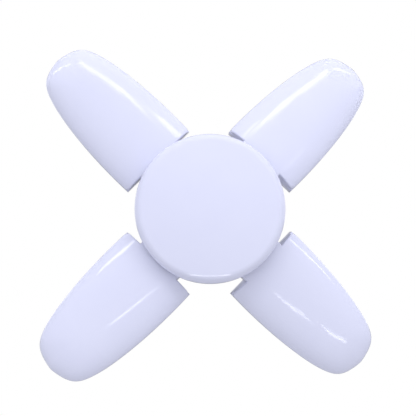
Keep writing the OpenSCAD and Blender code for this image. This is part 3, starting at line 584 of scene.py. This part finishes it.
# Streaks: the piece that shows it, width, radiance, and its path in the photograph's axes
UPPER_LEFT = ((-198, 530, 508), (-50, 468, 597), (90, 416, 630), (141, 385, 640), (188, 387, 628))
UPPER_LEFT_END = ((272, 412, 577), (317, 409, 557), (385, 457, 470))
UPPER_RIGHT = (
    (203, 620, 389), (155, 567, 482), (129, 526, 533), (99, 511, 554), (54, 520, 552), (-8, 520, 554),
)
UPPER_RIGHT_END = ((-70, 520, 550), (-125, 545, 515))
STREAKS = (
    ("leaf_4_diffuser", 80, 4.2, *UPPER_LEFT),
    ("leaf_4_diffuser", 160, 1.4, *UPPER_LEFT),
    ("leaf_4_diffuser", 110, 0.9, UPPER_LEFT[-1], UPPER_LEFT_END[0]),
    ("leaf_4_diffuser", 90, 4.0, *UPPER_LEFT_END),
    ("leaf_4_diffuser", 36, 5.0, (-580, 425, 235), (-534, 452, 297), (-471, 454, 386),
     (-360, 496, 449), (-302, 509, 477)),
    ("leaf_1_diffuser", 80, 4.2, *UPPER_RIGHT),
    ("leaf_1_diffuser", 150, 1.4, *UPPER_RIGHT),
    ("leaf_1_diffuser", 60, 2.0, UPPER_RIGHT[-1], (-18, 501, 571), (-19, 475, 590)),
    ("leaf_1_diffuser", 90, 3.0, *UPPER_RIGHT_END),
    ("leaf_1_diffuser", 36, 4.5, (300, 602, 352), (388, 599, 262), (428, 585, 229),
     (480, 562, 179), (535, 526, 115)),
    ("leaf_1_diffuser", 30, 2.5, (400, 55, 640), (440, 95, 610)),
    ("leaf_3_diffuser", 14, 3.5, (160, -63, 740), (112, -62, 749)),
    ("leaf_3_diffuser", 14, 8.0, (112, -62, 749), (63, -70, 754), (9, -70, 757)),
    ("leaf_3_diffuser", 60, 5.6, (-315, 405, 562), (-349, 420, 528), (-383, 424, 501), (-450, 402, 462)),
    ("leaf_2_diffuser", 22, 6.0, (190, -287, 678), (220, -291, 667), (248, -286, 659), (274, -279, 652)),
    ("leaf_2_diffuser", 22, 7.0, (325, -266, 633), (340, -266, 626), (366, -272, 608),
     (416, -296, 563), (450, -318, 520)),
    ("leaf_2_diffuser", 50, 4.8, (590, 277, 385), (649, 266, 295), (678, 250, 234), (699, 224, 196)),
    ("centre_diffuser", 70, 5.0, (-158, -508, 600), (-70, -330, 600), (5, -254, 600), (95, -360, 600),
     (188, -595, 600)),
)


def seen_from(x, y, z):
    """A place in the photograph's axes, in millimetres from the middle of the hinge plane."""
    return FRONT + (RIGHT * x + UP * y + NEAR * z) * MM


def make_camera():
    """Camera at the photograph's distance, tilt and offset."""
    turn = Matrix.Identity(3)
    for angle, axis in zip(CAMERA_TILT, "XYZ"):
        turn = turn @ Matrix.Rotation(math.radians(angle), 3, axis)
    back = turn.transposed()
    axes = Matrix((RIGHT, UP, NEAR)).transposed()
    camera = bpy.data.objects.new("camera", bpy.data.cameras.new("camera"))
    camera.data.sensor_width = SENSOR_MM
    camera.data.lens = FOCAL_PIXELS * SENSOR_MM / IMAGE_PIXELS
    camera.data.clip_start, camera.data.clip_end = 0.01, 20
    place = seen_from(*(back @ Vector((-CAMERA_SHIFT[0], -CAMERA_SHIFT[1], CAMERA_AWAY))))
    camera.matrix_world = Matrix.Translation(place) @ (axes @ back).to_4x4()
    bpy.context.scene.collection.objects.link(camera)
    bpy.context.scene.camera = camera


def make_light(name, start, end, width, radiance):
    """A softbox between two places, width millimetres high, that faces the light's middle."""
    start, end = seen_from(*start), seen_from(*end)
    data = bpy.data.lights.new(name, "AREA")
    data.shape = "RECTANGLE"
    data.size, data.size_y = (end - start).length, width * MM
    data.energy = radiance * math.pi * data.size * data.size_y
    data.color = DAYLIGHT
    lamp = bpy.data.objects.new(name, data)
    middle = (start + end) / 2
    away = (middle - FRONT).normalized()
    along = end - start
    along = (along - away * along.dot(away)).normalized()
    axes = Matrix((along, away.cross(along), away)).transposed()
    lamp.matrix_world = Matrix.Translation(middle) @ axes.to_4x4()
    bpy.context.scene.collection.objects.link(lamp)
    return lamp


def make_streak(piece, width, radiance, *path):
    """Narrow lamps along a path, seen only as a highlight on one piece."""
    group = bpy.data.collections.new(f"streak on {piece}")
    group.objects.link(bpy.data.objects[piece])
    for start, end in zip(path, path[1:]):
        lamp = make_light(f"streak on {piece}", start, end, width, radiance)
        lamp.visible_diffuse = False
        lamp.light_linking.receiver_collection = group


def make_world():
    """A pale, even studio. Gloss shows its far side, behind the light, as darker than the rest."""
    world = bpy.data.worlds.new("studio")
    bpy.context.scene.world = world
    world.use_nodes = True
    tree = world.node_tree
    tree.nodes.clear()
    place = tree.nodes.new("ShaderNodeTexCoord")
    facing = tree.nodes.new("ShaderNodeVectorMath")
    facing.operation = "DOT_PRODUCT"
    facing.inputs[1].default_value = -NEAR
    tree.links.new(place.outputs["Generated"], facing.inputs[0])
    shade = tree.nodes.new("ShaderNodeMapRange")
    shade.interpolation_type = "SMOOTHSTEP"
    shade.inputs["From Min"].default_value, shade.inputs["From Max"].default_value = FAR_SIDE
    shade.inputs["To Min"].default_value, shade.inputs["To Max"].default_value = STUDIO_GLOSS
    tree.links.new(facing.outputs["Value"], shade.inputs["Value"])
    even = background(tree, STUDIO_FILL, DAYLIGHT)
    gloss = background(tree, 1.0, DAYLIGHT)
    white = background(tree, 1.0)
    tree.links.new(shade.outputs["Result"], gloss.inputs["Strength"])
    path = tree.nodes.new("ShaderNodeLightPath")
    mirrored = tree.nodes.new("ShaderNodeMath")
    mirrored.operation = "MAXIMUM"
    tree.links.new(path.outputs["Is Glossy Ray"], mirrored.inputs[0])
    tree.links.new(path.outputs["Is Transmission Ray"], mirrored.inputs[1])
    shown = even
    for factor, shader in ((mirrored.outputs[0], gloss), (path.outputs["Is Camera Ray"], white)):
        mix = tree.nodes.new("ShaderNodeMixShader")
        tree.links.new(factor, mix.inputs[0])
        tree.links.new(shown.outputs[0], mix.inputs[1])
        tree.links.new(shader.outputs[0], mix.inputs[2])
        shown = mix
    out = tree.nodes.new("ShaderNodeOutputWorld")
    tree.links.new(shown.outputs[0], out.inputs["Surface"])


def background(tree, strength, colour=(1, 1, 1)):
    shader = tree.nodes.new("ShaderNodeBackground")
    shader.inputs["Color"].default_value = (*colour, 1)
    shader.inputs["Strength"].default_value = strength
    return shader


def make_floor():
    mesh = bpy.data.meshes.new("floor")
    corners = [(x * FLOOR_HALF, y * FLOOR_HALF, FLOOR_Z) for x, y in ((-1, -1), (1, -1), (1, 1), (-1, 1))]
    mesh.from_pydata(corners, [], [(0, 1, 2, 3)])
    floor = bpy.data.objects.new("floor", mesh)
    bpy.context.scene.collection.objects.link(floor)
    material, _, shader = principled("pale floor", Roughness=0.9)
    shader.inputs["Base Color"].default_value = (0.92, 0.92, 0.92, 1)
    mesh.materials.append(material)


def make_studio():
    make_world()
    make_floor()
    # The softboxes only shade the light; its highlights come from the streaks
    left, right = SOFTBOX_ENDS
    for height, depth, radiance in SOFTBOXES:
        ends = (left, height, depth), (right, height, depth)
        lamp = make_light("softbox", *ends, SOFTBOX_WIDTH, radiance)
        lamp.visible_glossy = False
    for side in (-1, 1):
        ends = [(side * x, y, z) for x, y, z in BACK_ENDS]
        make_light("back", *ends, BACK_WIDTH, BACK_RADIANCE)
    for streak in STREAKS:
        make_streak(*streak)


# ---- Scene ----

materials = make_materials()
dress_cad_nodes(materials)
make_leaf_covers(materials)
make_centre_cover(materials)
make_leaf_leads(materials)
make_camera()
make_studio()
bpy.context.scene.view_settings.view_transform = "Standard"
